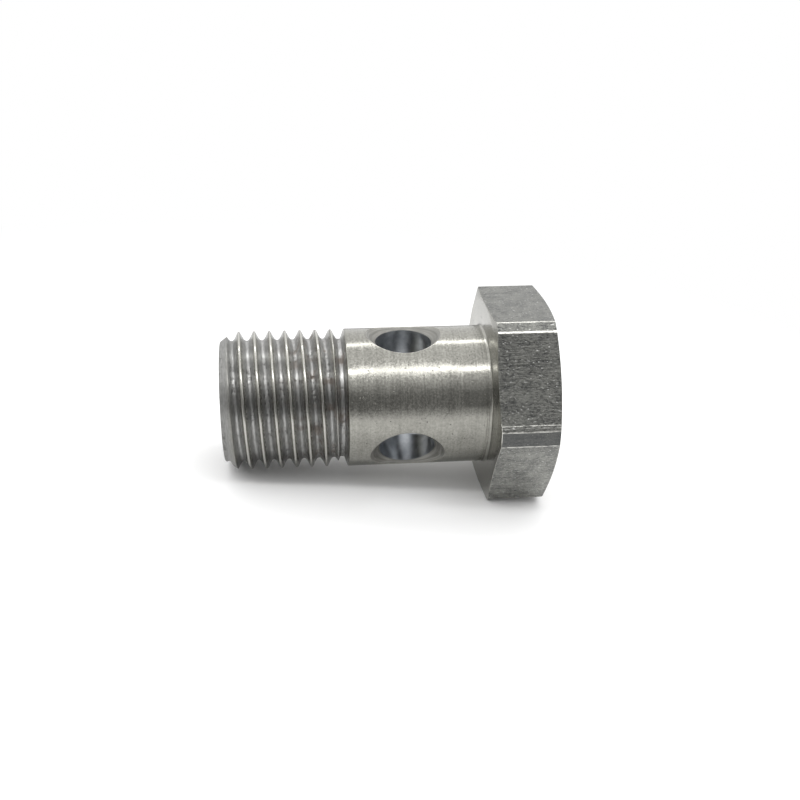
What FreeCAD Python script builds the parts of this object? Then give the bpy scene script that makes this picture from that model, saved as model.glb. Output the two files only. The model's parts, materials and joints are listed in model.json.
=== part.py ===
import FreeCAD, Part
import math
import os

# Banjo bolt M14 x 1.5, turned, drilled and milled from one round steel bar.
# Millimetres. It is built upright, under-head face at z = 0 and head above, then laid down at rest.

# Shank and thread
under_head_length = 26.0
shank_diameter = 13.8
plain_shank_length = 13.8
thread_pitch = 1.5
thread_major_diameter = 13.75
tip_chamfer_depth = 0.95
tip_chamfer_length = 1.3
thread_lead_in = 1.07

# Groove in which the thread ends, beside the plain shank
end_groove_extra_depth = 0.04
end_groove_far_wall_angle = 20.0

# Head
across_flats = 19.0
head_height = 6.15
bar_diameter = 21.75
hexagon_offset = 0.35
hexagon_offset_angle = -102.0
end_chamfer_circle = 18.6
end_chamfer_angle = 12.0
seat_chamfer_circle = 19.0
seat_chamfer_angle = 7.0

# Oil ways
bore_diameter = 8.0
drill_point_angle = 118.0
cross_hole_count = 3
cross_hole_diameter = 5.5
cross_hole_from_head = 8.05
first_cross_hole_angle = -177.0
countersink_diameter = 7.4
countersink_angle = 90.0
bore_past_cross_holes = 0.6

# Sizes that follow from the ones above
ORIGIN = FreeCAD.Vector(0, 0, 0)
BOLT_AXIS = FreeCAD.Vector(0, 0, 1)
shank_radius = shank_diameter / 2
crest_radius = thread_major_diameter / 2
bar_radius = bar_diameter / 2
bore_radius = bore_diameter / 2
thread_top = -plain_shank_length
thread_tip = -under_head_length

# Metric thread: sharp triangle height, cut depth and the two flats of the groove
sharp_height = thread_pitch * math.sqrt(3) / 2
groove_depth = sharp_height * 17 / 24
root_half_width = thread_pitch / 8
mouth_half_width = thread_pitch * 7 / 16
root_radius = crest_radius - groove_depth
flank_slope = (mouth_half_width - root_half_width) / groove_depth
cutter_overrun = thread_pitch / 10


def point(radius, height):
    """A point of a section: distance from the bolt's axis, and height along it."""
    return FreeCAD.Vector(radius, 0, height)


def turned(outline):
    """The solid swept by a closed section, given as a list of edges, in one turn about the axis."""
    section = Part.Face(Part.Wire(outline))
    return section.revolve(ORIGIN, BOLT_AXIS, 360)


def straight_edges(points):
    """Straight edges from each point to the next."""
    return [Part.makeLine(start, end) for start, end in zip(points, points[1:])]


def shank_blank():
    """The turned stem: tip chamfer, thread blank and plain shank, reaching up into the head."""
    inside_head = head_height / 2
    return turned(straight_edges([
        point(0, inside_head),
        point(0, thread_tip),
        point(crest_radius - tip_chamfer_depth, thread_tip),
        point(crest_radius, thread_tip + tip_chamfer_length),
        point(crest_radius, thread_top),
        point(shank_radius, thread_top),
        point(shank_radius, inside_head),
        point(0, inside_head),
    ]))


def head():
    """The hexagon, milled a little off centre on the round bar, with both its ends chamfered."""
    corner_radius = across_flats / math.sqrt(3)
    offset_angle = math.radians(hexagon_offset_angle)
    centre = FreeCAD.Vector(math.cos(offset_angle), math.sin(offset_angle), 0) * hexagon_offset
    corners = []
    for index in range(7):
        angle = math.radians(30 + 60 * index)
        corners.append(centre + FreeCAD.Vector(math.cos(angle), math.sin(angle), 0) * corner_radius)
    hexagon = Part.Face(Part.makePolygon(corners))
    prism = hexagon.extrude(BOLT_AXIS * head_height)
    seat_radius = seat_chamfer_circle / 2
    end_radius = end_chamfer_circle / 2
    seat_rise = (bar_radius - seat_radius) * math.tan(math.radians(seat_chamfer_angle))
    end_drop = (bar_radius - end_radius) * math.tan(math.radians(end_chamfer_angle))
    bar = turned(straight_edges([
        point(0, 0),
        point(seat_radius, 0),
        point(bar_radius, seat_rise),
        point(bar_radius, head_height - end_drop),
        point(end_radius, head_height),
        point(0, head_height),
        point(0, 0),
    ]))
    return prism.common(bar)


def groove_turns(count):
    """A helical cutter of a right-hand thread that makes this many turns, from height 0 and angle 0."""
    helix = Part.makeHelix(thread_pitch, count * thread_pitch, crest_radius)
    overrun_half_width = mouth_half_width + cutter_overrun * flank_slope
    section = Part.makePolygon([
        point(root_radius, -root_half_width),
        point(crest_radius + cutter_overrun, -overrun_half_width),
        point(crest_radius + cutter_overrun, overrun_half_width),
        point(root_radius, root_half_width),
        point(root_radius, -root_half_width),
    ])
    return Part.Wire(helix).makePipeShell([section], True, True)


def threaded(stem):
    """The stem with its thread cut turn by turn, from before the tip into the end groove."""
    start = thread_tip - thread_lead_in
    turns = (end_groove_height() - start) / thread_pitch
    whole_turns = math.floor(turns)
    full_turn = groove_turns(1)
    for index in range(whole_turns):
        stem = stem.cut(full_turn.translated(BOLT_AXIS * (start + index * thread_pitch)))
    last_turn = groove_turns(turns - whole_turns)
    return stem.cut(last_turn.translated(BOLT_AXIS * (start + whole_turns * thread_pitch)))


def end_groove_height():
    """Height of the end groove's middle, so that its far wall meets the plain shank's end."""
    return thread_top - root_half_width - end_groove_wall_run()


def end_groove_wall_run():
    """How far the end groove's far wall runs along the axis."""
    depth = shank_radius - root_radius + end_groove_extra_depth
    return depth * math.tan(math.radians(end_groove_far_wall_angle))


def end_groove():
    """The ring in which the threading tool stops, a little deeper than the thread's root."""
    middle = end_groove_height()
    bottom = root_radius - end_groove_extra_depth
    outside = shank_radius + cutter_overrun
    near_run = (outside - bottom) * flank_slope
    far_run = (outside - bottom) * math.tan(math.radians(end_groove_far_wall_angle))
    return turned(straight_edges([
        point(bottom, middle - root_half_width),
        point(outside, middle - root_half_width - near_run),
        point(outside, middle + root_half_width + far_run),
        point(bottom, middle + root_half_width),
        point(bottom, middle - root_half_width),
    ]))


def axial_bore():
    """The blind bore from the tip to just past the cross holes, with its drill point."""
    bore_end = -cross_hole_from_head + cross_hole_diameter / 2 + bore_past_cross_holes
    point_height = bore_radius / math.tan(math.radians(drill_point_angle / 2))
    return turned(straight_edges([
        point(0, thread_tip),
        point(bore_radius, thread_tip),
        point(bore_radius, bore_end),
        point(0, bore_end + point_height),
        point(0, thread_tip),
    ]))


def cross_hole(angle):
    """One radial hole from the bore out through the shank, with its countersink."""
    hole_radius = cross_hole_diameter / 2
    sink_radius = countersink_diameter / 2
    widening = math.tan(math.radians(countersink_angle / 2))
    sink_depth = (sink_radius - hole_radius) / widening
    above = sink_depth
    direction = FreeCAD.Vector(math.cos(angle), math.sin(angle), 0)
    centre = FreeCAD.Vector(0, 0, -cross_hole_from_head)
    drill = Part.makeCylinder(hole_radius, shank_radius + above, centre, direction)
    sink_start = centre + direction * (shank_radius - sink_depth)
    sink_mouth_radius = sink_radius + above * widening
    sink = Part.makeCone(hole_radius, sink_mouth_radius, sink_depth + above, sink_start, direction)
    return drill.fuse(sink)


def upright_bolt():
    """The finished bolt, standing on its tip with the head up."""
    stem = shank_blank().cut(end_groove())
    stem = stem.cut(axial_bore())
    bolt = threaded(stem).fuse(head())
    for index in range(cross_hole_count):
        angle = math.radians(first_cross_hole_angle) + 2 * math.pi * index / cross_hole_count
        bolt = bolt.cut(cross_hole(angle))
    return bolt.removeSplitter()


def laid_down(bolt):
    """The bolt at rest on one flat of its head and on the last full crest of its thread."""
    offset_towards_flat = hexagon_offset * math.cos(math.radians(hexagon_offset_angle))
    flat_distance = across_flats / 2 + offset_towards_flat
    seat_rise = max(flat_distance - seat_chamfer_circle / 2, 0) * math.tan(math.radians(seat_chamfer_angle))
    lowest_crest = thread_tip + tip_chamfer_length
    lean = math.degrees(math.atan((flat_distance - crest_radius) / (seat_rise - lowest_crest)))
    # A quarter turn about Y brings the flat that faces +X down onto the floor and the head to +X.
    bolt.rotate(ORIGIN, FreeCAD.Vector(0, 1, 0), 90 - lean)
    box = bolt.optimalBoundingBox(False, False)
    middle = FreeCAD.Vector(box.Center.x, box.Center.y, box.ZMin)
    bolt.translate(middle * -1)
    return bolt


os.makedirs("parts", exist_ok=True)
banjo_bolt = laid_down(upright_bolt())
banjo_bolt.exportStep("parts/banjo_bolt.step")
print("solids", len(banjo_bolt.Solids), "valid", banjo_bolt.isValid(), "volume", round(banjo_bolt.Volume, 1))
print("box", banjo_bolt.optimalBoundingBox(False, False))
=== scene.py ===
# %% [markdown]
# A banjo bolt, lying on a white table.
#
# This lesson dresses one machined steel part. The frame that is loaded first is the part's exact solid.
# It says where everything is; the script then builds a finer skin over it, with worn edges carrying painted
# highlights and rounded thread roots, and gives that skin the finishes of turned, drilled and milled steel.

# %% Load the frame
import bmesh
import bpy
import json
import numpy as np
from mathutils import Matrix, Vector


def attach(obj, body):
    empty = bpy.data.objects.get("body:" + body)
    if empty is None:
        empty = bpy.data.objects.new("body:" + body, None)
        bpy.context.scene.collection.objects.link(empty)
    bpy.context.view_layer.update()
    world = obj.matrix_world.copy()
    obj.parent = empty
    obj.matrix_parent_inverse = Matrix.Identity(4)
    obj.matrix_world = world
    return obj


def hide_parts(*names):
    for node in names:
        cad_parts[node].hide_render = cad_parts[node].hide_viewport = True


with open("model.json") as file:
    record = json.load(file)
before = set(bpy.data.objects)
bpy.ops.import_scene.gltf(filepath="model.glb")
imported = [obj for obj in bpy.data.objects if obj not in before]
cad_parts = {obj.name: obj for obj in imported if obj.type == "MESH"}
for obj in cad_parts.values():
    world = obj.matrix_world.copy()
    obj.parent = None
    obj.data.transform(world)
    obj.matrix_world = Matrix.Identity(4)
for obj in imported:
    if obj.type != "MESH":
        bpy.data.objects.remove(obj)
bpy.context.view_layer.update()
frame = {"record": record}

# %% [markdown]
# The bolt's own axes.
#
# A turned part is easiest to describe standing on its tip: a radius, a height along the axis and an
# angle round it. The record of the part says which way the oil way points and where the sealing face is,
# and these two give the turn and the shift that lay the standing bolt down at rest.

# %% From standing to lying
MM = 0.001
mounts = {mount["name"]: mount for mount in frame["record"]["mounts"]}
bolt_axis = -np.array(mounts["oil_way"]["axis"])
bore_point = np.array(mounts["oil_way"]["pos_m"])
seal_point = np.array(mounts["seal_face"]["pos_m"])
seat_centre = bore_point + bolt_axis * ((seal_point - bore_point) @ bolt_axis)
across = np.array([0.0, 1.0, 0.0])
downwards = np.cross(across, bolt_axis)
LYING = np.stack([downwards, across, bolt_axis], axis=1)


def lay_down(points_mm):
    """Standing millimetres to lying metres: the turn matrix times each point, plus the seat's centre."""
    return points_mm @ LYING.T * MM + seat_centre


print("axis rises by", round(float(np.degrees(np.arcsin(bolt_axis[2]))), 2), "degrees towards the head")

# %% [markdown]
# The sizes, in millimetres, with the sealing face under the head at height 0.
#
# They are the solid's own sizes. The record states the plain shank, the thread and the oil way, so their
# sizes are read from it. What is added here is small: the roundings that a tool's nose, a brush and years
# of handling leave on every edge. An edge with no rounding never catches the light.

# %% Sizes of the stem
plain_shank, thread, oil_way = [mounts[name]["dims"] for name in ("banjo_seat", "thread", "oil_way")]
SHANK_RADIUS, CREST_RADIUS, BORE_RADIUS = plain_shank["r_mm"], thread["r_mm"], oil_way["r_mm"]
THREAD_TOP = -plain_shank["length_mm"]
TIP = THREAD_TOP - thread["length_mm"]
print("shank radius:", SHANK_RADIUS, "thread radius:", CREST_RADIUS, "from", TIP, "to", THREAD_TOP)

# %% [markdown]
# A skin made of grids.
#
# Every surface below is a grid of points: rows run along the path from the bottom of the oil way, out over
# the tip, along the stem and over the head, and columns run round the axis. Walking the rows that way, with
# the columns counting anticlockwise, makes every face look out of the steel. Grids that meet share the same
# points, so welding them gives one closed skin.
#
# Each grid also gets a UV map, u along the path in centimetres and v once round. The finishes use its
# direction: a turned or drilled surface is combed round the axis and reflects differently along and across.

# %% Collect grids
TURNED, DRILLED, BAR = 0, 1, 2
MM_PER_CM = 10


def cell_corners(grid):
    """The four corners of each cell of a grid, in the order that makes its face look outwards."""
    return np.stack([grid[:-1, :-1], grid[:-1, 1:], grid[1:, 1:], grid[1:, :-1]], axis=2)


class Skin:
    """Points and four-sided faces of many grids, with the finish of each face and the wear, with any painted
    highlight, of each point.
    """

    def __init__(self):
        self.points, self.quads, self.finishes, self.maps, self.wear = [], [], [], [], []
        self.count = 0

    def add(self, points, finish, closed=True, wear=0.0):
        """Adds a grid of shape rows, columns, 3. A closed grid joins its last column to its first.

        The finish is one number, or one for each strip between two rows. The wear, with any painted
        highlight, is one number, or one for each point. u is the mean distance walked from row to row, v the
        share of the columns passed.
        """
        rows, columns = points.shape[:2]
        index = np.arange(rows * columns).reshape(rows, columns) + self.count
        if closed:
            index = np.concatenate([index, index[:, :1]], axis=1)
        walked = np.linalg.norm(np.diff(points, axis=0), axis=-1).mean(axis=1)
        u = np.concatenate([[0], np.cumsum(walked)]) / MM_PER_CM
        v = np.linspace(0, 1, index.shape[1])
        flat_map = np.stack(np.meshgrid(u, v, indexing="ij"), axis=-1)
        quads = cell_corners(index)
        self.points.append(points.reshape(-1, 3))
        self.wear.append(np.broadcast_to(wear, (rows, columns)).ravel())
        self.quads.append(quads.reshape(-1, 4))
        self.maps.append(cell_corners(flat_map).reshape(-1, 2))
        self.finishes.append(np.repeat(np.broadcast_to(finish, rows - 1), quads.shape[1]))
        self.count += rows * columns


skin = Skin()
print("finishes: turned", TURNED, "drilled", DRILLED, "bar", BAR)

# %% [markdown]
# Rounded profiles.
#
# A lathe cuts a profile of straight legs. Each corner is softened by a short curve: the corner point pulls
# a parabola whose ends lie a small setback away on the two legs. Working on whole columns at once lets the
# same profile change round the axis, as it must on a hexagon.

# %% Profile helpers
ROUNDING = np.linspace(0.0, 1.0, 5)[:, None, None]
CURVE_ROWS = len(ROUNDING)
MOST_OF_LEG, NO_LENGTH = 0.45, 1e-9


def soften(before, corner, after, setback):
    """Rows of a parabola round a corner: (1-t)^2 start + 2t(1-t) corner + t^2 end, for t from 0 to 1."""
    def step(towards):
        """The corner plus the setback along a leg, which is never so long that two curves meet."""
        leg = towards - corner
        length = np.linalg.norm(leg, axis=-1, keepdims=True)
        reach = np.minimum(setback, MOST_OF_LEG * length)
        return corner + leg / np.maximum(length, NO_LENGTH) * reach
    start, end = step(before), step(after)
    return (1 - ROUNDING) ** 2 * start + 2 * ROUNDING * (1 - ROUNDING) * corner + ROUNDING ** 2 * end


def profile(corners, setbacks):
    """Rows along a path of corners, each given as radius and height for every column.

    The first and the last corner are one row each, and every corner between them is the rows of its curve.
    """
    rows = [corners[0][None]]
    for before, corner, after, setback in zip(corners, corners[1:], corners[2:], setbacks):
        rows.append(soften(before, corner, after, setback))
    rows.append(corners[-1][None])
    return np.concatenate(rows)


def round_the_axis(radius_height, angles):
    """Radius, height and angle to a standing point: x = r cos a, y = r sin a, z = height."""
    radius, height = radius_height[..., 0], radius_height[..., 1]
    return np.stack([radius * np.cos(angles), radius * np.sin(angles), height], axis=-1)


def level(radius, height, angles):
    """One corner of a profile, the same radius and height at every angle unless arrays are given."""
    ones = np.ones_like(angles)
    return np.stack([radius * ones, height * ones], axis=-1)


print("rows in each rounded corner:", CURVE_ROWS)

# %% [markdown]
# The oil ways, and the columns of points round the stem.
#
# The blind bore ends in the cone of a drill point, a little past the three cross holes. The columns start
# midway between two holes, so every hole lies in the middle of its own third of them.

# %% Oil ways and columns
HOLE_HEIGHT, HOLE_RADIUS, SINK_RADIUS = -8.05, 2.75, 3.7
HOLE_ANGLES = np.radians([-177.0, -57.0, 63.0])
HALF_SECTOR = np.pi / 3
BORE_PAST_HOLES, DRILL_POINT_ANGLE = 0.6, 118.0
BORE_END = HOLE_HEIGHT + HOLE_RADIUS + BORE_PAST_HOLES
DRILL_POINT = BORE_END + BORE_RADIUS / np.tan(np.radians(DRILL_POINT_ANGLE / 2))
SECTOR_COLUMNS = 72
column_count = len(HOLE_ANGLES) * SECTOR_COLUMNS
stem_angles = HOLE_ANGLES[0] - HALF_SECTOR + np.arange(column_count) * 2 * np.pi / column_count
print("columns round the stem:", column_count)
print("bore from", TIP, "to", round(BORE_END, 2), "and its point at", round(float(DRILL_POINT), 2))

# %% [markdown]
# The thread.
#
# The groove of a right-hand thread winds one pitch along the axis for each turn. Its section is a trapezoid
# with flanks of 60 degrees. It starts before the tip, so that the chamfer there cuts it off, and it ends in
# a groove beside the plain shank, where the threading tool was drawn out.

# %% Sizes of the thread
PITCH = 1.5
# A groove is cut to 17/24 of the height that its triangle would have if root and crest were sharp.
ROOT_RADIUS = CREST_RADIUS - PITCH * np.sqrt(3) / 2 * 17 / 24
ROOT_HALF, MOUTH_HALF = PITCH / 8, PITCH * 7 / 16
FLANK_SLOPE = (CREST_RADIUS - ROOT_RADIUS) / (MOUTH_HALF - ROOT_HALF)
LEAD_IN = 1.07
GROOVE_START = TIP - LEAD_IN
CHAMFER_DEPTH, CHAMFER_LENGTH = 0.95, 1.3
END_GROOVE_EXTRA, FAR_WALL_ANGLE = 0.04, 20.0
END_GROOVE_RADIUS = ROOT_RADIUS - END_GROOVE_EXTRA
FAR_WALL_RUN = (SHANK_RADIUS - END_GROOVE_RADIUS) * np.tan(np.radians(FAR_WALL_ANGLE))
# The height of the end groove's middle, from which its far wall just reaches the end of the plain shank.
END_GROOVE = THREAD_TOP - ROOT_HALF - FAR_WALL_RUN
print("thread root radius:", round(float(ROOT_RADIUS), 3), "end groove at", round(float(END_GROOVE), 2))

# %% [markdown]
# One formula gives the whole thread.
#
# The radius of the surface depends only on how far a point is from the nearest groove line. A soft minimum
# joins flank, crest and tip chamfer, so crests come out a little worn, and the same turned over joins root
# and flank, because a worn tool leaves round roots. Its width says how close the two have to come before
# they start to blend.

# %% Thread surface
ROOT_BLEND, CREST_BLEND, EDGE_BLEND = 0.34, 0.15, 0.05


def soft_min(a, b, width):
    """The smaller of two surfaces, blended where they differ by less than the width."""
    overlap = np.maximum(width - np.abs(a - b), 0)
    return np.minimum(a, b) - overlap ** 2 / (4 * width)


def thread_radius(height, angle):
    """Root, then flank, then crest, by the distance along the axis from the nearest groove line.

    The flank's radius is the root's plus the slope times the distance past the root's half width. Where
    the cone of the tip's chamfer or the near wall of the end groove is nearer the axis, it takes over.
    """
    groove_line = GROOVE_START + PITCH * angle / (2 * np.pi)
    offset = (height - groove_line) / PITCH
    distance = np.abs(offset - np.round(offset)) * PITCH
    flank = ROOT_RADIUS + (distance - ROOT_HALF) * FLANK_SLOPE
    rooted = -soft_min(-flank, -ROOT_RADIUS, ROOT_BLEND)
    threaded = soft_min(rooted, CREST_RADIUS, CREST_BLEND)
    cone = CREST_RADIUS - CHAMFER_DEPTH + (height - TIP) * CHAMFER_DEPTH / CHAMFER_LENGTH
    near_wall = END_GROOVE_RADIUS + (END_GROOVE - ROOT_HALF - height) * FLANK_SLOPE
    near_wall = np.maximum(near_wall, END_GROOVE_RADIUS)
    return soft_min(soft_min(threaded, cone, EDGE_BLEND), near_wall, EDGE_BLEND)


one_pitch = -20.0 + np.linspace(0, PITCH, 7)
print("radii over one pitch of the thread:", thread_radius(one_pitch, 0.0).round(2))

# %% [markdown]
# Rows that wind with the groove.
#
# If the rows ran level, the thread's crests would cross them and come out as steps. So each row rises by one
# pitch a turn, as the groove does, and keeps its place on the section all the way round. Rows lie closest
# where the section bends most. The crests get a wear number too, because they are rubbed bright by every
# port that the bolt is screwed into.

# %% Thread rows
ROW_OFFSETS = np.array([0, 0.08, 0.15, 0.20, 0.26, 0.34, 0.43, 0.52, 0.58, 0.615, 0.645, 0.675, 0.71])
TIP_ROUNDING = 0.04
CREST_WEAR, WORN_DEPTH = 0.6, 0.05
row_distances = np.concatenate([ROW_OFFSETS, PITCH - ROW_OFFSETS[:0:-1]])
thread_low = TIP + TIP_ROUNDING
# More turns than the thread has: the rows past its ends are left out below.
turns = np.arange(-2, 11)[:, None]
row_heights = (GROOVE_START + turns * PITCH + row_distances).ravel()[:, None]
thread_angles = np.append(stem_angles, stem_angles[0] + 2 * np.pi)
heights = row_heights + PITCH * thread_angles / (2 * np.pi)
heights = np.clip(heights, thread_low, END_GROOVE)
# A row that lies wholly past one end has shrunk onto that end. One such row closes the grid at each end.
used = (heights.max(axis=1) > thread_low) & (heights.min(axis=1) < END_GROOVE)
used = np.convolve(used, np.ones(3), "same") > 0
heights = heights[used]
radii = thread_radius(heights, thread_angles)
thread_grid = round_the_axis(np.stack([radii, heights], axis=-1), thread_angles)
crest_wear = CREST_WEAR * np.clip(1 - (CREST_RADIUS - radii) / WORN_DEPTH, 0, 1)
skin.add(thread_grid, TURNED, closed=False, wear=crest_wear)
print("thread rows:", thread_grid.shape[0], "crest radius:", round(float(radii.max()), 3))

# %% [markdown]
# Oil way, tip and plain shank, all turned or drilled on the axis.
#
# Two zones are left open, one on the shank and one in the bore: the cross holes go through there and need
# grids of their own. The corners are listed in the order of the path, and each inner one has its setback.

# %% Turned and drilled zones
SHANK_ZONE = (-13.35, -2.75)
BORE_ZONE = (-11.35, BORE_END - 0.05)
BORE_CHAMFER, NECK_FILLET, NECK_RING = 0.25, 0.3, 7.35
tip_edge = CREST_RADIUS - CHAMFER_DEPTH
thread_start_radius = thread_radius(thread_low, stem_angles)
thread_end_radius = thread_radius(END_GROOVE, stem_angles)


def turned_zone(corners, setbacks, finish):
    """Carries a profile of radius and height corners once round the axis and adds it to the skin."""
    grid = profile([level(radius, height, stem_angles) for radius, height in corners], setbacks)
    skin.add(round_the_axis(grid, stem_angles), finish)


turned_zone([(0, DRILL_POINT), (BORE_RADIUS, BORE_END), (BORE_RADIUS, BORE_ZONE[1])], [0.04], DRILLED)
turned_zone([(BORE_RADIUS, BORE_ZONE[0]), (BORE_RADIUS, TIP + BORE_CHAMFER),
             (BORE_RADIUS + BORE_CHAMFER, TIP), (tip_edge, TIP), (thread_start_radius, thread_low)],
            [0.06, 0.06, 0.03], TURNED)
turned_zone([(thread_end_radius, END_GROOVE), (END_GROOVE_RADIUS, END_GROOVE + ROOT_HALF),
             (SHANK_RADIUS, THREAD_TOP), (SHANK_RADIUS, SHANK_ZONE[0])], [0.08, 0.07], TURNED)
turned_zone([(SHANK_RADIUS, SHANK_ZONE[1]), (SHANK_RADIUS, 0), (NECK_RING, 0)], [NECK_FILLET], TURNED)
print("points so far:", skin.count)

# %% [markdown]
# The cross holes.
#
# Each hole is drilled towards the axis and countersunk. Round it a fan of lines runs from a rectangle on the
# shank to the hole's edge, down the cone, down the wall, and out again over the bore to a second rectangle.
# A rectangle's points fall on the rims of the open zone and on the sides of the next holes' rectangles, so
# all the grids meet.

# %% Rectangles round a hole
SIDE_STEPS = 36


def rectangle_round_hole(zone):
    """Points anticlockwise round a hole's zone, as angle from the hole and height."""
    turn = np.linspace(-HALF_SECTOR, HALF_SECTOR, SECTOR_COLUMNS + 1)
    rise = np.linspace(zone[0], zone[1], SIDE_STEPS + 1)
    sides = [(turn[:-1], np.full(SECTOR_COLUMNS, zone[0])), (np.full(SIDE_STEPS, turn[-1]), rise[:-1]),
             (turn[:0:-1], np.full(SECTOR_COLUMNS, zone[1])), (np.full(SIDE_STEPS, turn[0]), rise[:0:-1])]
    return np.concatenate([np.stack(side, axis=-1) for side in sides])


def on_cylinder(radius, turn, height):
    """A point on a cylinder, with x along its tangent at the hole, y along the axis, z outwards."""
    return np.stack([radius * np.sin(turn), height - HOLE_HEIGHT, radius * np.cos(turn)], axis=-1)


outer_frame = rectangle_round_hole(SHANK_ZONE)
inner_frame = rectangle_round_hole(BORE_ZONE)
ray = np.arctan2(outer_frame[:, 1] - HOLE_HEIGHT, outer_frame[:, 0] * SHANK_RADIUS)
cos_ray, sin_ray = np.cos(ray), np.sin(ray)
print("lines in the fan round a hole:", len(ray))

# %% [markdown]
# The saddle edge.
#
# Where the countersink's cone leaves the round shank, the edge is a saddle: it lies deeper at the sides than
# along the axis. Its place has no simple formula, so it is found by steps. Each step takes the shank's height
# at the present distance, asks how wide the cone is there, and goes half the way to that width.

# %% Edges of a hole
SADDLE_STEPS = 30


def hole_edge(distance, height):
    """Points at a distance from the hole's axis, one on each line, at a height over the bolt's axis."""
    return np.stack([distance * cos_ray, distance * sin_ray, height], axis=-1)


sink_bottom = SHANK_RADIUS - (SINK_RADIUS - HOLE_RADIUS)
rim_distance = np.full(len(ray), SINK_RADIUS)
for _ in range(SADDLE_STEPS):
    rim_height = np.sqrt(SHANK_RADIUS ** 2 - (rim_distance * cos_ray) ** 2)
    rim_distance = 0.5 * rim_distance + 0.5 * (HOLE_RADIUS + rim_height - sink_bottom)
rim = hole_edge(rim_distance, rim_height)
rim_frame = np.stack([np.arcsin(rim[:, 0] / SHANK_RADIUS), rim[:, 1] + HOLE_HEIGHT], axis=-1)
cone_end = hole_edge(HOLE_RADIUS, np.full(len(ray), sink_bottom))
wall_end = hole_edge(HOLE_RADIUS, np.sqrt(BORE_RADIUS ** 2 - (HOLE_RADIUS * cos_ray) ** 2))
wall_frame = np.stack([np.arcsin(wall_end[:, 0] / BORE_RADIUS), wall_end[:, 1] + HOLE_HEIGHT], axis=-1)
print("countersink edge from", round(float(rim_distance.min()), 2), "to", round(float(rim_distance.max()), 2))

# %% [markdown]
# Rows from rim to rim, three times.
#
# The rows over the shank and over the bore are shares of the way between two rings, closer near the hole.
# One hole is worked out with z outwards along it, and is then turned to each of the three angles.

# %% Rows of a hole
SHANK_SHARES, BORE_SHARES = [1, 0.8, 0.6, 0.42, 0.27, 0.15, 0.07, 0.03], [0.06, 0.2, 0.5, 1]


def fan(inside, outside, radius, shares):
    """Rows on a cylinder between two rings given as turn and height, at the given shares of the way."""
    shares = np.array(shares)[:, None, None]
    mixed = inside * (1 - shares) + outside * shares
    return on_cylinder(radius, mixed[..., 0], mixed[..., 1])


shank_rows = fan(rim_frame, outer_frame, SHANK_RADIUS, SHANK_SHARES)
bore_rows = fan(wall_frame, inner_frame, BORE_RADIUS, BORE_SHARES)
rim_rows = soften(shank_rows[-1], rim, cone_end, 0.07)
cone_rows = soften(rim, cone_end, wall_end, 0.05)
wall_rows = soften(cone_end, wall_end, bore_rows[0], 0.05)
skin_rows = np.concatenate([shank_rows, rim_rows])
hole_rows = np.concatenate([rim_rows[-1:], cone_rows, wall_rows, bore_rows])
lift = np.array([0, 0, HOLE_HEIGHT])
for hole_angle in HOLE_ANGLES:
    turn = np.array([[-np.sin(hole_angle), np.cos(hole_angle), 0], [0, 0, 1],
                     [np.cos(hole_angle), np.sin(hole_angle), 0]])
    skin.add(skin_rows @ turn + lift, TURNED)
    skin.add(hole_rows @ turn + lift, DRILLED)
print("rows over the shank:", len(skin_rows), "rows down the hole:", len(hole_rows))

# %% [markdown]
# The head.
#
# The hexagon was milled on round bar, a little off centre, so a strip of the bar's own surface is left at
# some corners. Flat number n faces the angle 60 n, and reaches as far to each side as the angle whose cosine
# is the flat's distance over the bar's radius. Where two flats meet before that, there is a plain corner.

# %% Where the flats end
HEAD_TOP, BAR_RADIUS, FLAT_DISTANCE = 6.15, 10.875, 9.5
HEXAGON_OFFSET, HEXAGON_OFFSET_ANGLE = 0.35, np.radians(-102.0)
FLATS = 6
flat_normals = np.radians(np.arange(FLATS) * 60.0)
flat_distances = FLAT_DISTANCE + HEXAGON_OFFSET * np.cos(flat_normals - HEXAGON_OFFSET_ANGLE)
half_spans = np.arccos(flat_distances / BAR_RADIUS)
starts, ends = flat_normals - half_spans, flat_normals + half_spans
next_starts = np.roll(starts, -1) + np.where(np.arange(FLATS) == FLATS - 1, 2 * np.pi, 0)
# Where two flats meet before the bar is reached, the corner is where their two distances agree.
next_distances = np.roll(flat_distances, -1)
sharp_turn = np.arctan2(next_distances / flat_distances - np.cos(np.pi / 3), np.sin(np.pi / 3))
sharp = ends > next_starts
corner_angles = np.concatenate([np.where(sharp, flat_normals + sharp_turn, ends),
                                np.where(sharp, flat_normals + sharp_turn, next_starts)])
print("corners, degrees:", np.unique(np.degrees(corner_angles).round(1)))

# %% [markdown]
# Columns for the head.
#
# A column every two degrees is enough for the flats and the strips. At each corner more columns are packed
# closely, so that its rounding is smooth and its bright line has a place to sit. Two fine scored lines
# beside one corner edge get such columns too.

# %% Columns round the head
UPPER_STRIP_TOP, UPPER_STRIP_FOOT, LOWER_STRIP_TOP = 3, FLATS + 3, 4
CLOSE_BY = np.radians([-1.6, -1.1, -0.75, -0.5, -0.3, -0.1, 0.1, 0.3, 0.5, 0.75, 1.1, 1.6])
scored_angles = corner_angles[LOWER_STRIP_TOP] - np.radians([1.25, 2.4])
bright_angles = np.concatenate([corner_angles, scored_angles])
even_angles, packed_angles = np.radians(np.arange(0, 360, 2.0)), (bright_angles[:, None] + CLOSE_BY).ravel()
head_angles = np.mod(np.concatenate([even_angles, packed_angles]), 2 * np.pi)
head_angles = np.unique(np.round(head_angles, 4))
print("columns round the head:", len(head_angles))

# %% [markdown]
# The head's section.
#
# The side's radius at an angle is the nearest of six planes, d / cos(angle from its normal), and never more
# than the bar's. Both ends are chamfered by cones. Where a flat lies inside a cone's circle, the chamfer
# shrinks to nothing, and this makes the curved ends that the flats of a turned hexagon have.
#
# The side keeps the bar's finish. The faces and chamfers at both ends were cut on the lathe.

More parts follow.
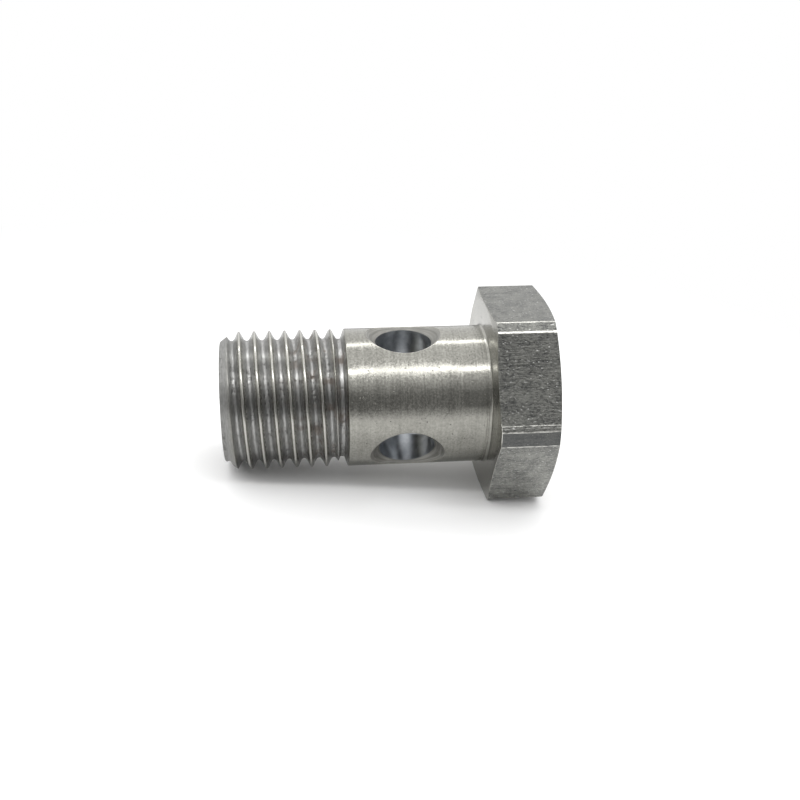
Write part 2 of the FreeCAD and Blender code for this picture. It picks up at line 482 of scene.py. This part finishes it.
# %% Section of the head
END_CIRCLE, SEAT_CIRCLE = 9.3, 9.5
END_SLOPE, SEAT_SLOPE = np.tan(np.radians(12)), np.tan(np.radians(7))
# The head's grid starts at a ring of points on the face under it, and has another on its outer face.
FACE_RING, TOP_RING = 9.1, 8.0
# A plane that faces away by more than about 73 degrees can't be the nearest, and is put far off.
LEAST_FACING, FAR_OFF = 0.3, 100.0


def side_radius(angle):
    """Distance of the head's side from the bolt's axis at an angle, with softened corners."""
    facing = np.cos(angle[:, None] - flat_normals)
    to_flats = np.where(facing > LEAST_FACING, flat_distances / np.maximum(facing, LEAST_FACING), FAR_OFF)
    nearest = np.sort(to_flats, axis=1)
    return soft_min(soft_min(nearest[:, 0], nearest[:, 1], EDGE_BLEND), BAR_RADIUS, EDGE_BLEND)


side = side_radius(head_angles)
seat_edge, end_edge = np.minimum(SEAT_CIRCLE, side), np.minimum(END_CIRCLE, side)
head_corners = [(FACE_RING, 0), (seat_edge, 0), (side, (side - seat_edge) * SEAT_SLOPE),
                (side, HEAD_TOP - (side - end_edge) * END_SLOPE), (end_edge, HEAD_TOP),
                (TOP_RING, HEAD_TOP), (0, HEAD_TOP)]
head_grid = profile([level(radius, height, head_angles) for radius, height in head_corners],
                    [0.12, 0.07, 0.07, 0.1, 0.01])
# The side runs from the middle of the second rounded corner to the middle of the third.
side_from = 1 + CURVE_ROWS + CURVE_ROWS // 2
side_to = side_from + CURVE_ROWS
strips = np.arange(len(head_grid) - 1)
head_finish = np.where((strips >= side_from) & (strips < side_to), BAR, TURNED)
print("rows over the head:", len(head_grid), "bar finish from row", side_from, "to", side_to)

# %% [markdown]
# Where the head is worn, and where highlights are painted on it.
#
# Each point gets a number for wear and painted highlight, highest on the corner edges and low on the rims,
# where the steel is rubbed bright and bright lines of highlight are painted on. It falls off from an edge
# line as a bell curve, exp(-(distance / width)^2), and each line has its own brightness and width: the upper
# strip's lower edge is the brightest, the two scored lines are the faintest. A burr has turned the lower
# strip's upper edge over, so its line lies a little past the corner.

# %% Wear and painted highlights of the head
# painted highlights: bright lines along the corner edges and the scored lines, partly real wear
brightness = np.full(len(bright_angles), 0.52)
brightness[[UPPER_STRIP_TOP, UPPER_STRIP_FOOT]] = 0.68, 0.93
brightness[-len(scored_angles):] = 0.3, 0.42
line_width = np.full(len(bright_angles), 0.08)
line_width[[UPPER_STRIP_FOOT, LOWER_STRIP_TOP]] = 0.12, 0.11
line_angles = bright_angles.copy()
line_angles[LOWER_STRIP_TOP] += np.radians(0.35)
turn_to_line = np.abs(np.mod(head_angles[:, None] - line_angles + np.pi, 2 * np.pi) - np.pi)
edge_highlight_and_wear = (brightness * np.exp(-(turn_to_line * BAR_RADIUS / line_width) ** 2)).max(axis=1)


def near_angle(middle, reach):
    """True for the head's columns within some degrees of a middle: cos(angle - middle) > cos(reach)."""
    return np.cos(head_angles - np.radians(middle)) > np.cos(np.radians(reach))


# The rim round the ring face is rubbed a little everywhere, and brighter, as wear and painted highlight,
# on the front and most at the lower strip.
rim_highlight_and_wear = np.full(len(head_angles), 0.05)
rim_highlight_and_wear[near_angle(291, 28)] = 0.3
rim_highlight_and_wear[near_angle(266, 4.5)] = 0.8
row_number = np.arange(len(head_grid))[:, None]
on_side = (row_number >= side_from - 1) & (row_number <= side_to)
on_rim = np.abs(row_number - side_from) < 2
head_highlight_and_wear = np.maximum(edge_highlight_and_wear * on_side, rim_highlight_and_wear * on_rim)
skin.add(round_the_axis(head_grid, head_angles), head_finish, wear=head_highlight_and_wear)
print("points so far:", skin.count, "highest wear on the head:", round(float(head_highlight_and_wear.max()), 2))

# %% [markdown]
# The ring under the head joins the stem's even columns to the head's uneven ones.
#
# Both rings are sorted by angle into one list. Each step along the list moves on either the inner or the
# outer ring and makes one triangle. The face is flat, so the triangles can't be seen.

# %% Ring under the head
inner_turn, outer_turn = np.sort(np.mod(stem_angles, 2 * np.pi)), head_angles
inner_count, outer_count = len(inner_turn), len(outer_turn)
order = np.argsort(np.concatenate([inner_turn, outer_turn]), kind="stable")
is_inner = order < inner_count
# The last point passed on each ring, before each step of the list.
inner_now = (np.cumsum(is_inner) - is_inner - 1) % inner_count
outer_now = (np.cumsum(~is_inner) - ~is_inner - 1) % outer_count
next_inner, next_outer = (inner_now + 1) % inner_count, (outer_now + 1) % outer_count
third = np.where(is_inner, next_inner, next_outer + inner_count)
ring_triangles = np.stack([inner_now, third, outer_now + inner_count], axis=-1)
ring_points = np.concatenate([round_the_axis(level(NECK_RING, 0, inner_turn), inner_turn),
                              round_the_axis(level(FACE_RING, 0, outer_turn), outer_turn)])
print("triangles in the ring:", len(ring_triangles))

# %% [markdown]
# One mesh from all the grids.
#
# The grids' points and faces are put end to end and laid down. The ring's UV map is its radius and its share
# of the turn. A triangle that crosses the start of the turn keeps its three v values together, by moving
# them to within half a turn of its first one.

# %% Make the mesh
points = lay_down(np.concatenate([*skin.points, ring_points]))
faces = np.concatenate(skin.quads).tolist() + (ring_triangles + skin.count).tolist()
finishes = np.concatenate([*skin.finishes, np.full(len(ring_triangles), TURNED)])
ring_uv = np.stack([np.hypot(ring_points[:, 0], ring_points[:, 1]) / MM_PER_CM,
                    np.arctan2(ring_points[:, 1], ring_points[:, 0]) / (2 * np.pi)], axis=-1)[ring_triangles]
first_v = ring_uv[:, :1, 1]
ring_uv[..., 1] = first_v + np.mod(ring_uv[..., 1] - first_v + 0.5, 1) - 0.5
mesh = bpy.data.meshes.new("bolt_skin")
mesh.from_pydata(points.tolist(), [], faces)
mesh.polygons.foreach_set("material_index", finishes.astype(np.int32))
path_map = mesh.uv_layers.new(name="path")
path_map.data.foreach_set("uv", np.concatenate([*skin.maps, ring_uv.reshape(-1, 2)]).ravel())
# the wear of each point, which on the head also holds painted highlights
worn = mesh.attributes.new("worn", "FLOAT", "POINT")
worn.data.foreach_set("value", np.concatenate([*skin.wear, np.zeros(len(ring_points))]))
print("points:", len(mesh.vertices), "faces:", len(mesh.polygons))

# %% [markdown]
# Weld it.
#
# Points of two grids that fall together become one, and a row that shrinks to a point, at the drill point
# or in the middle of the head, closes into triangles. Counting edges that don't have two faces tests the
# result: a closed skin has none, and its volume is that of the steel.

# %% Weld and test the skin
WELD_DISTANCE, SPECK = 2e-7, 1e-8
welder = bmesh.new()
welder.from_mesh(mesh)
bmesh.ops.remove_doubles(welder, verts=welder.verts, dist=WELD_DISTANCE)
bmesh.ops.dissolve_degenerate(welder, edges=welder.edges, dist=SPECK)
open_edges = [edge for edge in welder.edges if len(edge.link_faces) != 2]
volume = welder.calc_volume(signed=True)
welder.to_mesh(mesh)
welder.free()
mesh.polygons.foreach_set("use_smooth", np.ones(len(mesh.polygons), bool))
bolt = bpy.data.objects.new("bolt_skin", mesh)
bpy.context.scene.collection.objects.link(bolt)
mesh.calc_loop_triangles()
print("triangles:", len(mesh.loop_triangles), "open edges:", len(open_edges))
print("volume, mm3:", round(volume / MM ** 3, 1))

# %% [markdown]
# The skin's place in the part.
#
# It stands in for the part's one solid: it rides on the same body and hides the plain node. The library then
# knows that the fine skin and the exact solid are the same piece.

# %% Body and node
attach(bolt, "root")
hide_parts("banjo_bolt")
print(bolt.name, "rides on root and replaces banjo_bolt")

# %% [markdown]
# Words for building a material.
#
# A material is a graph of small steps. These helpers keep each step to one line: feed a socket, add a node,
# do arithmetic, make a smooth step, mix two colours, and make a noise, plain or stretched. A noise is spread
# so that it fills the range from 0 to 1.

# %% Node helpers
def feed(socket, value):
    """Gives a socket another node's result, or a plain number, colour or vector."""
    if isinstance(value, bpy.types.NodeSocket):
        socket.id_data.links.new(value, socket)
    else:
        socket.default_value = value


def add(tree, kind, inputs=None, result=0, **settings):
    """Adds a node, sets its properties, feeds its inputs by name or number, and gives one of its results."""
    node = tree.nodes.new("ShaderNode" + kind)
    for name, value in settings.items():
        setattr(node, name, value)
    for key, value in (inputs or {}).items():
        feed(node.inputs[key], value)
    return node.outputs[result]


def calc(tree, operation, *values):
    """One step of arithmetic between numbers."""
    return add(tree, "Math", dict(enumerate(values)), operation=operation)


def step_up(tree, value, low, high, start=0.0, stop=1.0):
    """A smooth step: start where the value is at low or before it, stop where it is at high or past it."""
    spans = {"Value": value, "From Min": low, "From Max": high, "To Min": start, "To Max": stop}
    return add(tree, "MapRange", spans, interpolation_type="SMOOTHSTEP")


def blend(tree, share, low, high):
    """A mix of two colours: low where the share is 0 and high where it is 1."""
    return add(tree, "Mix", {0: share, 6: low, 7: high}, result=2, data_type="RGBA")


def grain(tree, place, per_mm, detail=2.0, low=0.33, high=0.67):
    """A cloudy noise, with so many waves per millimetre, spread to fill 0 to 1 by a smooth step."""
    noise = add(tree, "TexNoise", {"Vector": place, "Scale": per_mm, "Detail": detail})
    return step_up(tree, noise, low, high)


def stretched(tree, parts, scales):
    """A place whose three numbers are each scaled: a small scale draws the pattern out that way."""
    scaled = [calc(tree, "MULTIPLY", part, scale) for part, scale in zip(parts, scales)]
    return add(tree, "CombineXYZ", dict(enumerate(scaled)))


# %% [markdown]
# Masks and coats.
#
# A finish is built as a painter would, coat over coat. A mask is a number from 0 to 1 that says where a coat
# lies. Several masks multiplied are 1 only where all of them are. Roughness and relief are sums, in which
# each mask has its weight.

# %% Masks, coats and sums
def product(tree, first, *masks):
    """A mask that is 1 only where all the given ones are: their product."""
    for mask in masks:
        first = calc(tree, "MULTIPLY", first, mask)
    return first


def coat(tree, colour, mask, share, paint):
    """The colour with a coat of paint over it, as thick as the mask times the share."""
    return blend(tree, product(tree, mask, share), colour, paint)


def weigh(tree, total, *weighed_masks):
    """The total plus each mask times its weight."""
    for mask, weight in weighed_masks:
        total = calc(tree, "MULTIPLY_ADD", mask, weight, total)
    return total


# %% [markdown]
# Where on the bolt is this point?
#
# Object coordinates are in metres and lie as the bolt lies. A Mapping node of the texture kind undoes a
# placement, so it turns them back to the standing millimetres in which the shapes above were written.

# %% Standing place
LEAN = float(np.arccos(bolt_axis[2]))


def standing_place(tree):
    """The standing point, its three numbers, and its distance from the bolt's axis: root of x^2 + y^2."""
    lying = add(tree, "TexCoord", result="Object")
    placement = {"Location": tuple(seat_centre), "Rotation": (0, LEAN, 0), "Scale": (MM, MM, MM)}
    standing = add(tree, "Mapping", {"Vector": lying, **placement}, vector_type="TEXTURE")
    x, y, z = [add(tree, "SeparateXYZ", {0: standing}, result=name) for name in "XYZ"]
    radius = calc(tree, "SQRT", calc(tree, "MULTIPLY_ADD", x, x, calc(tree, "MULTIPLY", y, y)))
    return standing, (x, y, z), radius


print("the standing bolt is leaned over by", round(float(np.degrees(LEAN)), 2), "degrees")

# %% [markdown]
# Bare steel.
#
# All the finishes are the same bare metal, and each has its own colour, roughness and relief. Tool marks run
# round the axis, so a highlight is drawn out across them. The shader calls this anisotropic, and takes the
# direction from the UV map: u, along the path, is its tangent. The mesh gets its materials in the order of
# the finish numbers: turned, drilled, bar.

# %% Bare steel helpers
def new_steel(name, anisotropic):
    """A bare metal whose highlights are drawn out along u, across the marks that the tool left."""
    material = bpy.data.materials.new(name)
    material.use_nodes = True
    tree = material.node_tree
    shader = tree.nodes["Principled BSDF"]
    shader.inputs["Metallic"].default_value = 1.0
    shader.inputs["Anisotropic"].default_value = anisotropic
    feed(shader.inputs["Tangent"], add(tree, "Tangent", direction_type="UV_MAP", uv_map="path"))
    mesh.materials.append(material)
    return tree, shader


def finish_steel(tree, shader, colour, roughness, relief, depth_mm):
    """Connects colour, roughness and a relief of the given depth."""
    feed(shader.inputs["Base Color"], colour)
    feed(shader.inputs["Roughness"], roughness)
    bump = {"Height": relief, "Distance": depth_mm * MM, "Strength": 1.0}
    feed(shader.inputs["Normal"], add(tree, "Bump", bump))


def wear_and_highlight_number(tree):
    """The wear and painted highlight that the mesh carries at this point."""
    return add(tree, "Attribute", attribute_name="worn", result="Fac")


# %% [markdown]
# Turned steel.
#
# The lathe leaves fine rings. They are a noise stretched far round the bolt and packed closely along one
# number, the height plus 1.7 times the radius, so that the same rings run over shank, chamfers and faces.
# On top come soft clouds where the oil has dried, a fine grain, and a few pits.

# %% Rings, clouds and pits
RING_SLANT = 1.7
DULL_STEEL, CLEAN_STEEL = (0.225, 0.221, 0.2, 1), (0.41, 0.405, 0.368, 1)
PIT_BROWN = (0.05, 0.045, 0.04, 1)
tree, shader = new_steel("turned_steel", 0.6)
standing, parts, radius = standing_place(tree)
x, y, height = parts
ring_place = calc(tree, "MULTIPLY_ADD", radius, RING_SLANT, height)
rings = grain(tree, stretched(tree, (x, y, ring_place), (0.25, 0.25, 6.0)), 1.0, 3)
bands = grain(tree, stretched(tree, (x, y, ring_place), (0.08, 0.08, 1.1)), 1.0, 2)
clouds = grain(tree, standing, 0.35, 3)
specks = grain(tree, standing, 5.0, 3)
tone = weigh(tree, 0.0, (bands, 0.16), (rings, 0.22), (clouds, 0.22), (specks, 0.46))
colour = blend(tree, tone, DULL_STEEL, CLEAN_STEEL)
pit_cells = add(tree, "TexVoronoi", {"Vector": standing, "Scale": 1.9})
pitted_places = grain(tree, standing, 0.5, 1, 0.42, 0.55)
pits = product(tree, step_up(tree, pit_cells, 0.14, 0.07), pitted_places)
colour = coat(tree, colour, pits, 0.7, PIT_BROWN)
print("turned steel nodes so far:", len(tree.nodes))

# %% [markdown]
# The same steel in the thread.
#
# Here it is duller and greyer, with streaks along the cut. The mask is made of heights and radii: below the
# plain shank, under the crests, and outside the bore. The tool has torn the roots here and there, and rust
# has stained some of them near the plain shank.

# %% Coats in the thread
THREAD_DARK, THREAD_LIGHT = (0.33, 0.332, 0.336, 1), (0.53, 0.532, 0.534, 1)
TORN_DARK, RUST_BROWN = (0.10, 0.098, 0.095, 1), (0.16, 0.115, 0.085, 1)
in_thread = step_up(tree, height, THREAD_TOP + 0.1, THREAD_TOP - 0.05)
under_crest = step_up(tree, radius, CREST_RADIUS - 0.05, ROOT_RADIUS + 0.3)
outside_bore = step_up(tree, radius, ROOT_RADIUS - 0.4, ROOT_RADIUS - 0.2)
below_crest = product(tree, in_thread, under_crest, outside_bore)
streaks = grain(tree, stretched(tree, parts, (1.5, 1.5, 9.0)), 1.0, 3)
thread_grey = blend(tree, streaks, THREAD_DARK, THREAD_LIGHT)
colour = coat(tree, colour, below_crest, 0.65, thread_grey)

at_root = step_up(tree, radius, ROOT_RADIUS + 0.3, ROOT_RADIUS + 0.1)
tears = grain(tree, standing, 3.2, 2, 0.52, 0.62)
torn_places = grain(tree, standing, 0.4, 1, 0.5, 0.58)
torn = product(tree, below_crest, at_root, tears, torn_places)
colour = coat(tree, colour, torn, 0.55, TORN_DARK)
rust_blots = grain(tree, standing, 0.9, 3, 0.5, 0.68)
near_shank = step_up(tree, height, -21.5, -17.5)
rust = product(tree, below_crest, rust_blots, near_shank)
colour = coat(tree, colour, rust, 0.55, RUST_BROWN)
print("turned steel nodes so far:", len(tree.nodes))

# %% [markdown]
# Tip, worn crests, and the surface of the turned steel.
#
# The chamfer at the tip is darker and rougher than the rest. The last coat is the bright metal of crests
# and rims, as thick as the wear number; on the rims of the head it is partly a painted highlight. Pits and
# tears are hollows, so their weights in the relief are negative. One unit of relief is 0.0035 mm, so that
# even the tears are only about 0.03 mm deep.

# %% Finish the turned steel
TIP_GREY, RUBBED_AND_HIGHLIT = (0.16, 0.16, 0.15, 1), (0.8, 0.79, 0.75, 1)
at_tip = step_up(tree, height, TIP + CHAMFER_LENGTH + 0.1, TIP + CHAMFER_LENGTH - 0.15)
colour = coat(tree, colour, at_tip, 0.4, TIP_GREY)
# bright wear on the crests; on the head's rims it is partly a painted highlight
colour = coat(tree, colour, wear_and_highlight_number(tree), 0.7, RUBBED_AND_HIGHLIT)
roughness = weigh(tree, 0.15, (rings, 0.05), (specks, 0.06), (below_crest, 0.13), (at_tip, 0.14), (rust, 0.3))
relief = weigh(tree, rings, (specks, 0.22), (bands, 1.5), (pits, -5.0), (torn, -9.0))
finish_steel(tree, shader, colour, roughness, relief, 0.0035)
print("turned steel nodes:", len(tree.nodes))

# %% [markdown]
# Drilled steel.
#
# The drill leaves rings round its own axis, which u crosses. The wall sees little of the room and looks dark
# for that reason, so its own colour is set lighter than the shank's, and a little blue. The countersinks have
# nearly the shank's tone, so the colour changes where the cone ends. The depth in a hole is the point's
# distance from the bolt's axis, measured along the hole: of the three holes, the one that gives the greatest
# number is the one the point is in.

# %% Make the drilled steel
WALL_DARK, WALL_LIGHT = (0.40, 0.42, 0.445, 1), (0.54, 0.56, 0.58, 1)
CONE_DARK, CONE_LIGHT = (0.20, 0.197, 0.183, 1), (0.38, 0.374, 0.35, 1)
RINGS_PER_CM = 60.0
tree, shader = new_steel("drilled_steel", 0.7)
standing, parts, _ = standing_place(tree)
path = add(tree, "SeparateXYZ", {0: add(tree, "UVMap", uv_map="path")}, result="X")
scores = grain(tree, standing, 0.3, 1)
ring_place = add(tree, "CombineXYZ", {0: calc(tree, "MULTIPLY", path, RINGS_PER_CM), 1: scores})
tool_rings = grain(tree, ring_place, 1.0, 3)
stain = grain(tree, standing, 1.2, 3)
wall = blend(tree, stain, WALL_DARK, WALL_LIGHT)
cone = blend(tree, tool_rings, CONE_DARK, CONE_LIGHT)

depth = 0.0
for hole_angle in HOLE_ANGLES:
    side_part = calc(tree, "MULTIPLY", parts[1], float(np.sin(hole_angle)))
    along_hole = calc(tree, "MULTIPLY_ADD", parts[0], float(np.cos(hole_angle)), side_part)
    depth = calc(tree, "MAXIMUM", along_hole, depth)
is_cone = step_up(tree, depth, sink_bottom - 0.04, sink_bottom + 0.02)
colour = blend(tree, is_cone, wall, cone)
roughness = weigh(tree, 0.29, (is_cone, 0.14), (stain, 0.05))
relief = weigh(tree, tool_rings, (stain, 0.3))
finish_steel(tree, shader, colour, roughness, relief, 0.002)
print("drilled steel nodes:", len(tree.nodes))

# %% [markdown]
# Bar steel.
#
# The sides of the head are duller than the turned parts: a coarse grain, a few drawn lines along the bolt,
# and larger patches. Painted shade darkens the sides that lie uppermost and painted light brightens the lower
# ones. The standing x points down when the bolt lies, so this painted shading is taken from x, and it grows
# from the upper sides to the lower ones. The strips of the bar's own skin, which are told by their radius,
# are a little lighter.

# %% Grain and painted shading of the bar steel
BAR_DARK, BAR_LIGHT = (0.075, 0.077, 0.078, 1), (0.286, 0.287, 0.266, 1)
tree, shader = new_steel("bar_steel", 0.15)
standing, parts, radius = standing_place(tree)
down, away, _ = parts
coarse = grain(tree, stretched(tree, parts, (6.0, 6.0, 3.2)), 1.0, 3)
fine = grain(tree, standing, 10.0, 2)
drawn = grain(tree, stretched(tree, parts, (5.0, 5.0, 0.25)), 1.0, 2)
patches = grain(tree, standing, 0.8, 3)
tone = weigh(tree, 0.0, (coarse, 0.45), (fine, 0.35), (drawn, 0.2), (patches, 0.35))
colour = blend(tree, tone, BAR_DARK, BAR_LIGHT)
# painted shading: the colour is scaled from 0.82 on the upper sides to 1.22 on the lower ones
painted_side_shading = step_up(tree, down, -9.0, 4.5, 0.82, 1.22)
bar_skin = step_up(tree, radius, BAR_RADIUS - 0.03, BAR_RADIUS - 0.01, 0.0, 0.18)
lightness = calc(tree, "ADD", painted_side_shading, bar_skin)
colour = add(tree, "VectorMath", {0: colour, "Scale": lightness}, operation="SCALE")
print("bar steel nodes so far:", len(tree.nodes))

# %% [markdown]
# Points of light, scale, and rubbed edges with painted highlights.
#
# The coarse grain shows bright points. Dark scale is left on the strip of bar skin that faces the front,
# where the standing y is close to minus the bar's radius. The corner edges are rubbed bright and carry
# painted highlights, and these are broken up by a noise along the edge, so they look ragged.

# %% Finish the bar steel
BRIGHT_POINT, SCALE_DARK = (0.75, 0.75, 0.73, 1), (0.066, 0.068, 0.07, 1)
EDGE_WEAR_AND_HIGHLIGHT = (0.84, 0.83, 0.78, 1)
points_of_light = grain(tree, stretched(tree, parts, (7.0, 7.0, 3.5)), 1.0, 1, 0.66, 0.75)
colour = coat(tree, colour, points_of_light, 0.8, BRIGHT_POINT)
scale = step_up(tree, away, 0.1 - BAR_RADIUS, 0.03 - BAR_RADIUS)
colour = coat(tree, colour, scale, 0.75, SCALE_DARK)
# painted highlights and wear on the corner edges, broken up along the edge
ragged = grain(tree, stretched(tree, parts, (8.0, 8.0, 2.2)), 1.0, 3, 0.3, 0.6)
broken_wear_and_highlight = product(tree, wear_and_highlight_number(tree), weigh(tree, 0.55, (ragged, 0.6)))
rubbed_and_highlit = step_up(tree, broken_wear_and_highlight, 0.1, 0.72)
colour = blend(tree, rubbed_and_highlit, colour, EDGE_WEAR_AND_HIGHLIGHT)
roughness = weigh(tree, 0.27, (coarse, 0.14))
relief = weigh(tree, 0.0, (fine, 0.4), (coarse, 1.0), (drawn, 0.4), (rubbed_and_highlit, 3.0))
finish_steel(tree, shader, colour, roughness, relief, 0.007)
print("bar steel nodes:", len(tree.nodes))

# %% [markdown]
# The table.
#
# White paper shows the bolt's soft shadow. Close to the bolt it is a plain diffuse surface. Further out it
# fades, for the camera and for reflections only, to a glow. The camera sees it at exactly 1, which is white,
# so the ground runs into the white background without an edge. The steel sees it darker, as the room beyond
# the paper is.

# %% Table
TABLE_HALF = 3.0
FADE_FROM, FADE_TO = 0.035, 0.09
PAPER, PAPER_SEEN = (0.82, 0.82, 0.82, 1), (0.97, 0.97, 0.97, 1)
NEAR_GLOW, GLOW_IN_STEEL = 0.03, 0.62
table_mesh = bpy.data.meshes.new("table")
table_corners = [(-TABLE_HALF, -TABLE_HALF, 0), (TABLE_HALF, -TABLE_HALF, 0),
                 (TABLE_HALF, TABLE_HALF, 0), (-TABLE_HALF, TABLE_HALF, 0)]
table_mesh.from_pydata(table_corners, [], [(0, 1, 2, 3)])
table = bpy.data.objects.new("table", table_mesh)
bpy.context.scene.collection.objects.link(table)
paper = bpy.data.materials.new("white_paper")
paper.use_nodes = True
tree = paper.node_tree
tree.nodes.clear()
camera_ray = add(tree, "LightPath", result="Is Camera Ray")
seen = calc(tree, "MAXIMUM", camera_ray, add(tree, "LightPath", result="Is Glossy Ray"))
seen = calc(tree, "MAXIMUM", seen, add(tree, "LightPath", result="Is Transmission Ray"))
table_point = add(tree, "TexCoord", result="Object")
distance = add(tree, "VectorMath", {0: table_point}, result="Value", operation="LENGTH")
far = product(tree, seen, step_up(tree, distance, FADE_FROM, FADE_TO))
diffuse = add(tree, "BsdfDiffuse", {"Color": blend(tree, camera_ray, PAPER, PAPER_SEEN)})
near_glow = add(tree, "Emission", {"Strength": product(tree, seen, NEAR_GLOW)})
near = add(tree, "AddShader", {0: diffuse, 1: near_glow})
far_glow = weigh(tree, GLOW_IN_STEEL, (camera_ray, 1 - GLOW_IN_STEEL))
white = add(tree, "Emission", {"Strength": far_glow})
surface = add(tree, "MixShader", {0: far, 1: near, 2: white})
feed(tree.nodes.new("ShaderNodeOutputMaterial").inputs["Surface"], surface)
table_mesh.materials.append(paper)
print("table:", 2 * TABLE_HALF, "m wide, fading out from", FADE_FROM, "to", FADE_TO, "m")

# %% [markdown]
# The light.
#
# Polished metal shows the room. The room here is a white tent with two long soft boxes above the bolt and
# a darker front, where the photographer stands. The world is a ramp over the angle from the front horizon,
# over the top, to the back, so each band on the shank comes from one height in the ramp.

# %% Room
scene = bpy.context.scene
world = bpy.data.worlds.new("studio")
scene.world = world
world.use_nodes = True
tree = world.node_tree
tree.nodes.clear()
direction = add(tree, "TexCoord", result="Generated")
forwards = calc(tree, "MULTIPLY", add(tree, "SeparateXYZ", {0: direction}, result="Y"), -1.0)
upwards = add(tree, "SeparateXYZ", {0: direction}, result="Z")
share = calc(tree, "DIVIDE", calc(tree, "ARCTAN2", upwards, forwards), np.pi)
room = add(tree, "ValToRGB", {0: share})
# Each stop is an angle from the front horizon, in degrees, and the room's brightness there.
stops = [(0, 0.25), (26, 0.27), (36, 0.44), (46, 0.72), (56, 1.05), (66, 1.2), (150, 1.2), (180, 1.1)]
ramp = room.node.color_ramp
ramp.elements[0].position, ramp.elements[1].position = stops[0][0] / 180, stops[-1][0] / 180
for angle, _ in stops[1:-1]:
    ramp.elements.new(angle / 180)
for element, (angle, value) in zip(ramp.elements, stops):
    element.color = (value, value, value, 1)
behind = blend(tree, add(tree, "LightPath", result="Is Camera Ray"), room, (1, 1, 1, 1))
background = add(tree, "Background", {"Color": behind})
feed(tree.nodes.new("ShaderNodeOutputWorld").inputs["Surface"], background)
print("stops in the room's ramp:", len(ramp.elements))

# %% [markdown]
# The soft boxes.
#
# Each is a long rectangle, parallel to the bolt and turned towards it. Seen in the shank it becomes one
# bright line from end to end, and its height above the front horizon says where on the shank the line lies.

# %% Soft boxes
BOX_AWAY, BOX_LENGTH, BOX_WIDTH, BOX_POWER = 0.5, 0.9, 0.095, 1.3
BOX_ELEVATIONS = {"front_box": 67, "back_box": 120}


def soft_box(name, elevation):
    """A long lamp parallel to the bolt, at an angle above the front horizon: y = -cos, z = sin of it."""
    lamp = bpy.data.lights.new(name, "AREA")
    lamp.shape = "RECTANGLE"
    lamp.size, lamp.size_y, lamp.energy = BOX_LENGTH, BOX_WIDTH, BOX_POWER
    holder = bpy.data.objects.new(name, lamp)
    holder.location = Vector((0, -np.cos(np.radians(elevation)), np.sin(np.radians(elevation)))) * BOX_AWAY
    holder.rotation_euler = (np.radians(elevation - 90), 0, 0)
    scene.collection.objects.link(holder)
    return holder


for name, elevation in BOX_ELEVATIONS.items():
    holder = soft_box(name, elevation)
    print(name, "shines along", [round(c, 2) for c in holder.rotation_euler.to_matrix() @ Vector((0, 0, -1))])

# %% [markdown]
# The camera.
#
# Its lens, place and turn were worked out from the bolt's outline in the photograph. It stands in front of
# the bolt, a little to the left, looks down by 28 degrees and is rolled by 7.5 degrees. It is placed from
# the centre of the sealing face, so it keeps its view of the bolt wherever the bolt's own origin lies.

# %% Camera
TURN_ROUND, LOOK_DOWN, ROLL = np.radians([-9.6853, 28.4257, 7.5])
FROM_SEAT_MM = Vector((-23.9396, -98.8324, 43.6542))
camera_data = bpy.data.cameras.new("camera")
camera_data.lens = 48.41
camera_data.shift_y = 0.1
camera_data.clip_start = 0.005
camera = bpy.data.objects.new("camera", camera_data)
place = Matrix.Translation(Vector(seat_centre) + FROM_SEAT_MM * MM)
turn_round = Matrix.Rotation(TURN_ROUND, 4, "Z")
look_down = Matrix.Rotation(np.pi / 2 - LOOK_DOWN, 4, "X")
camera.matrix_world = place @ turn_round @ look_down @ Matrix.Rotation(ROLL, 4, "Z")
scene.collection.objects.link(camera)
scene.camera = camera
scene.view_settings.view_transform = "Standard"
print("camera to sealing face, mm:", round(FROM_SEAT_MM.length, 1))
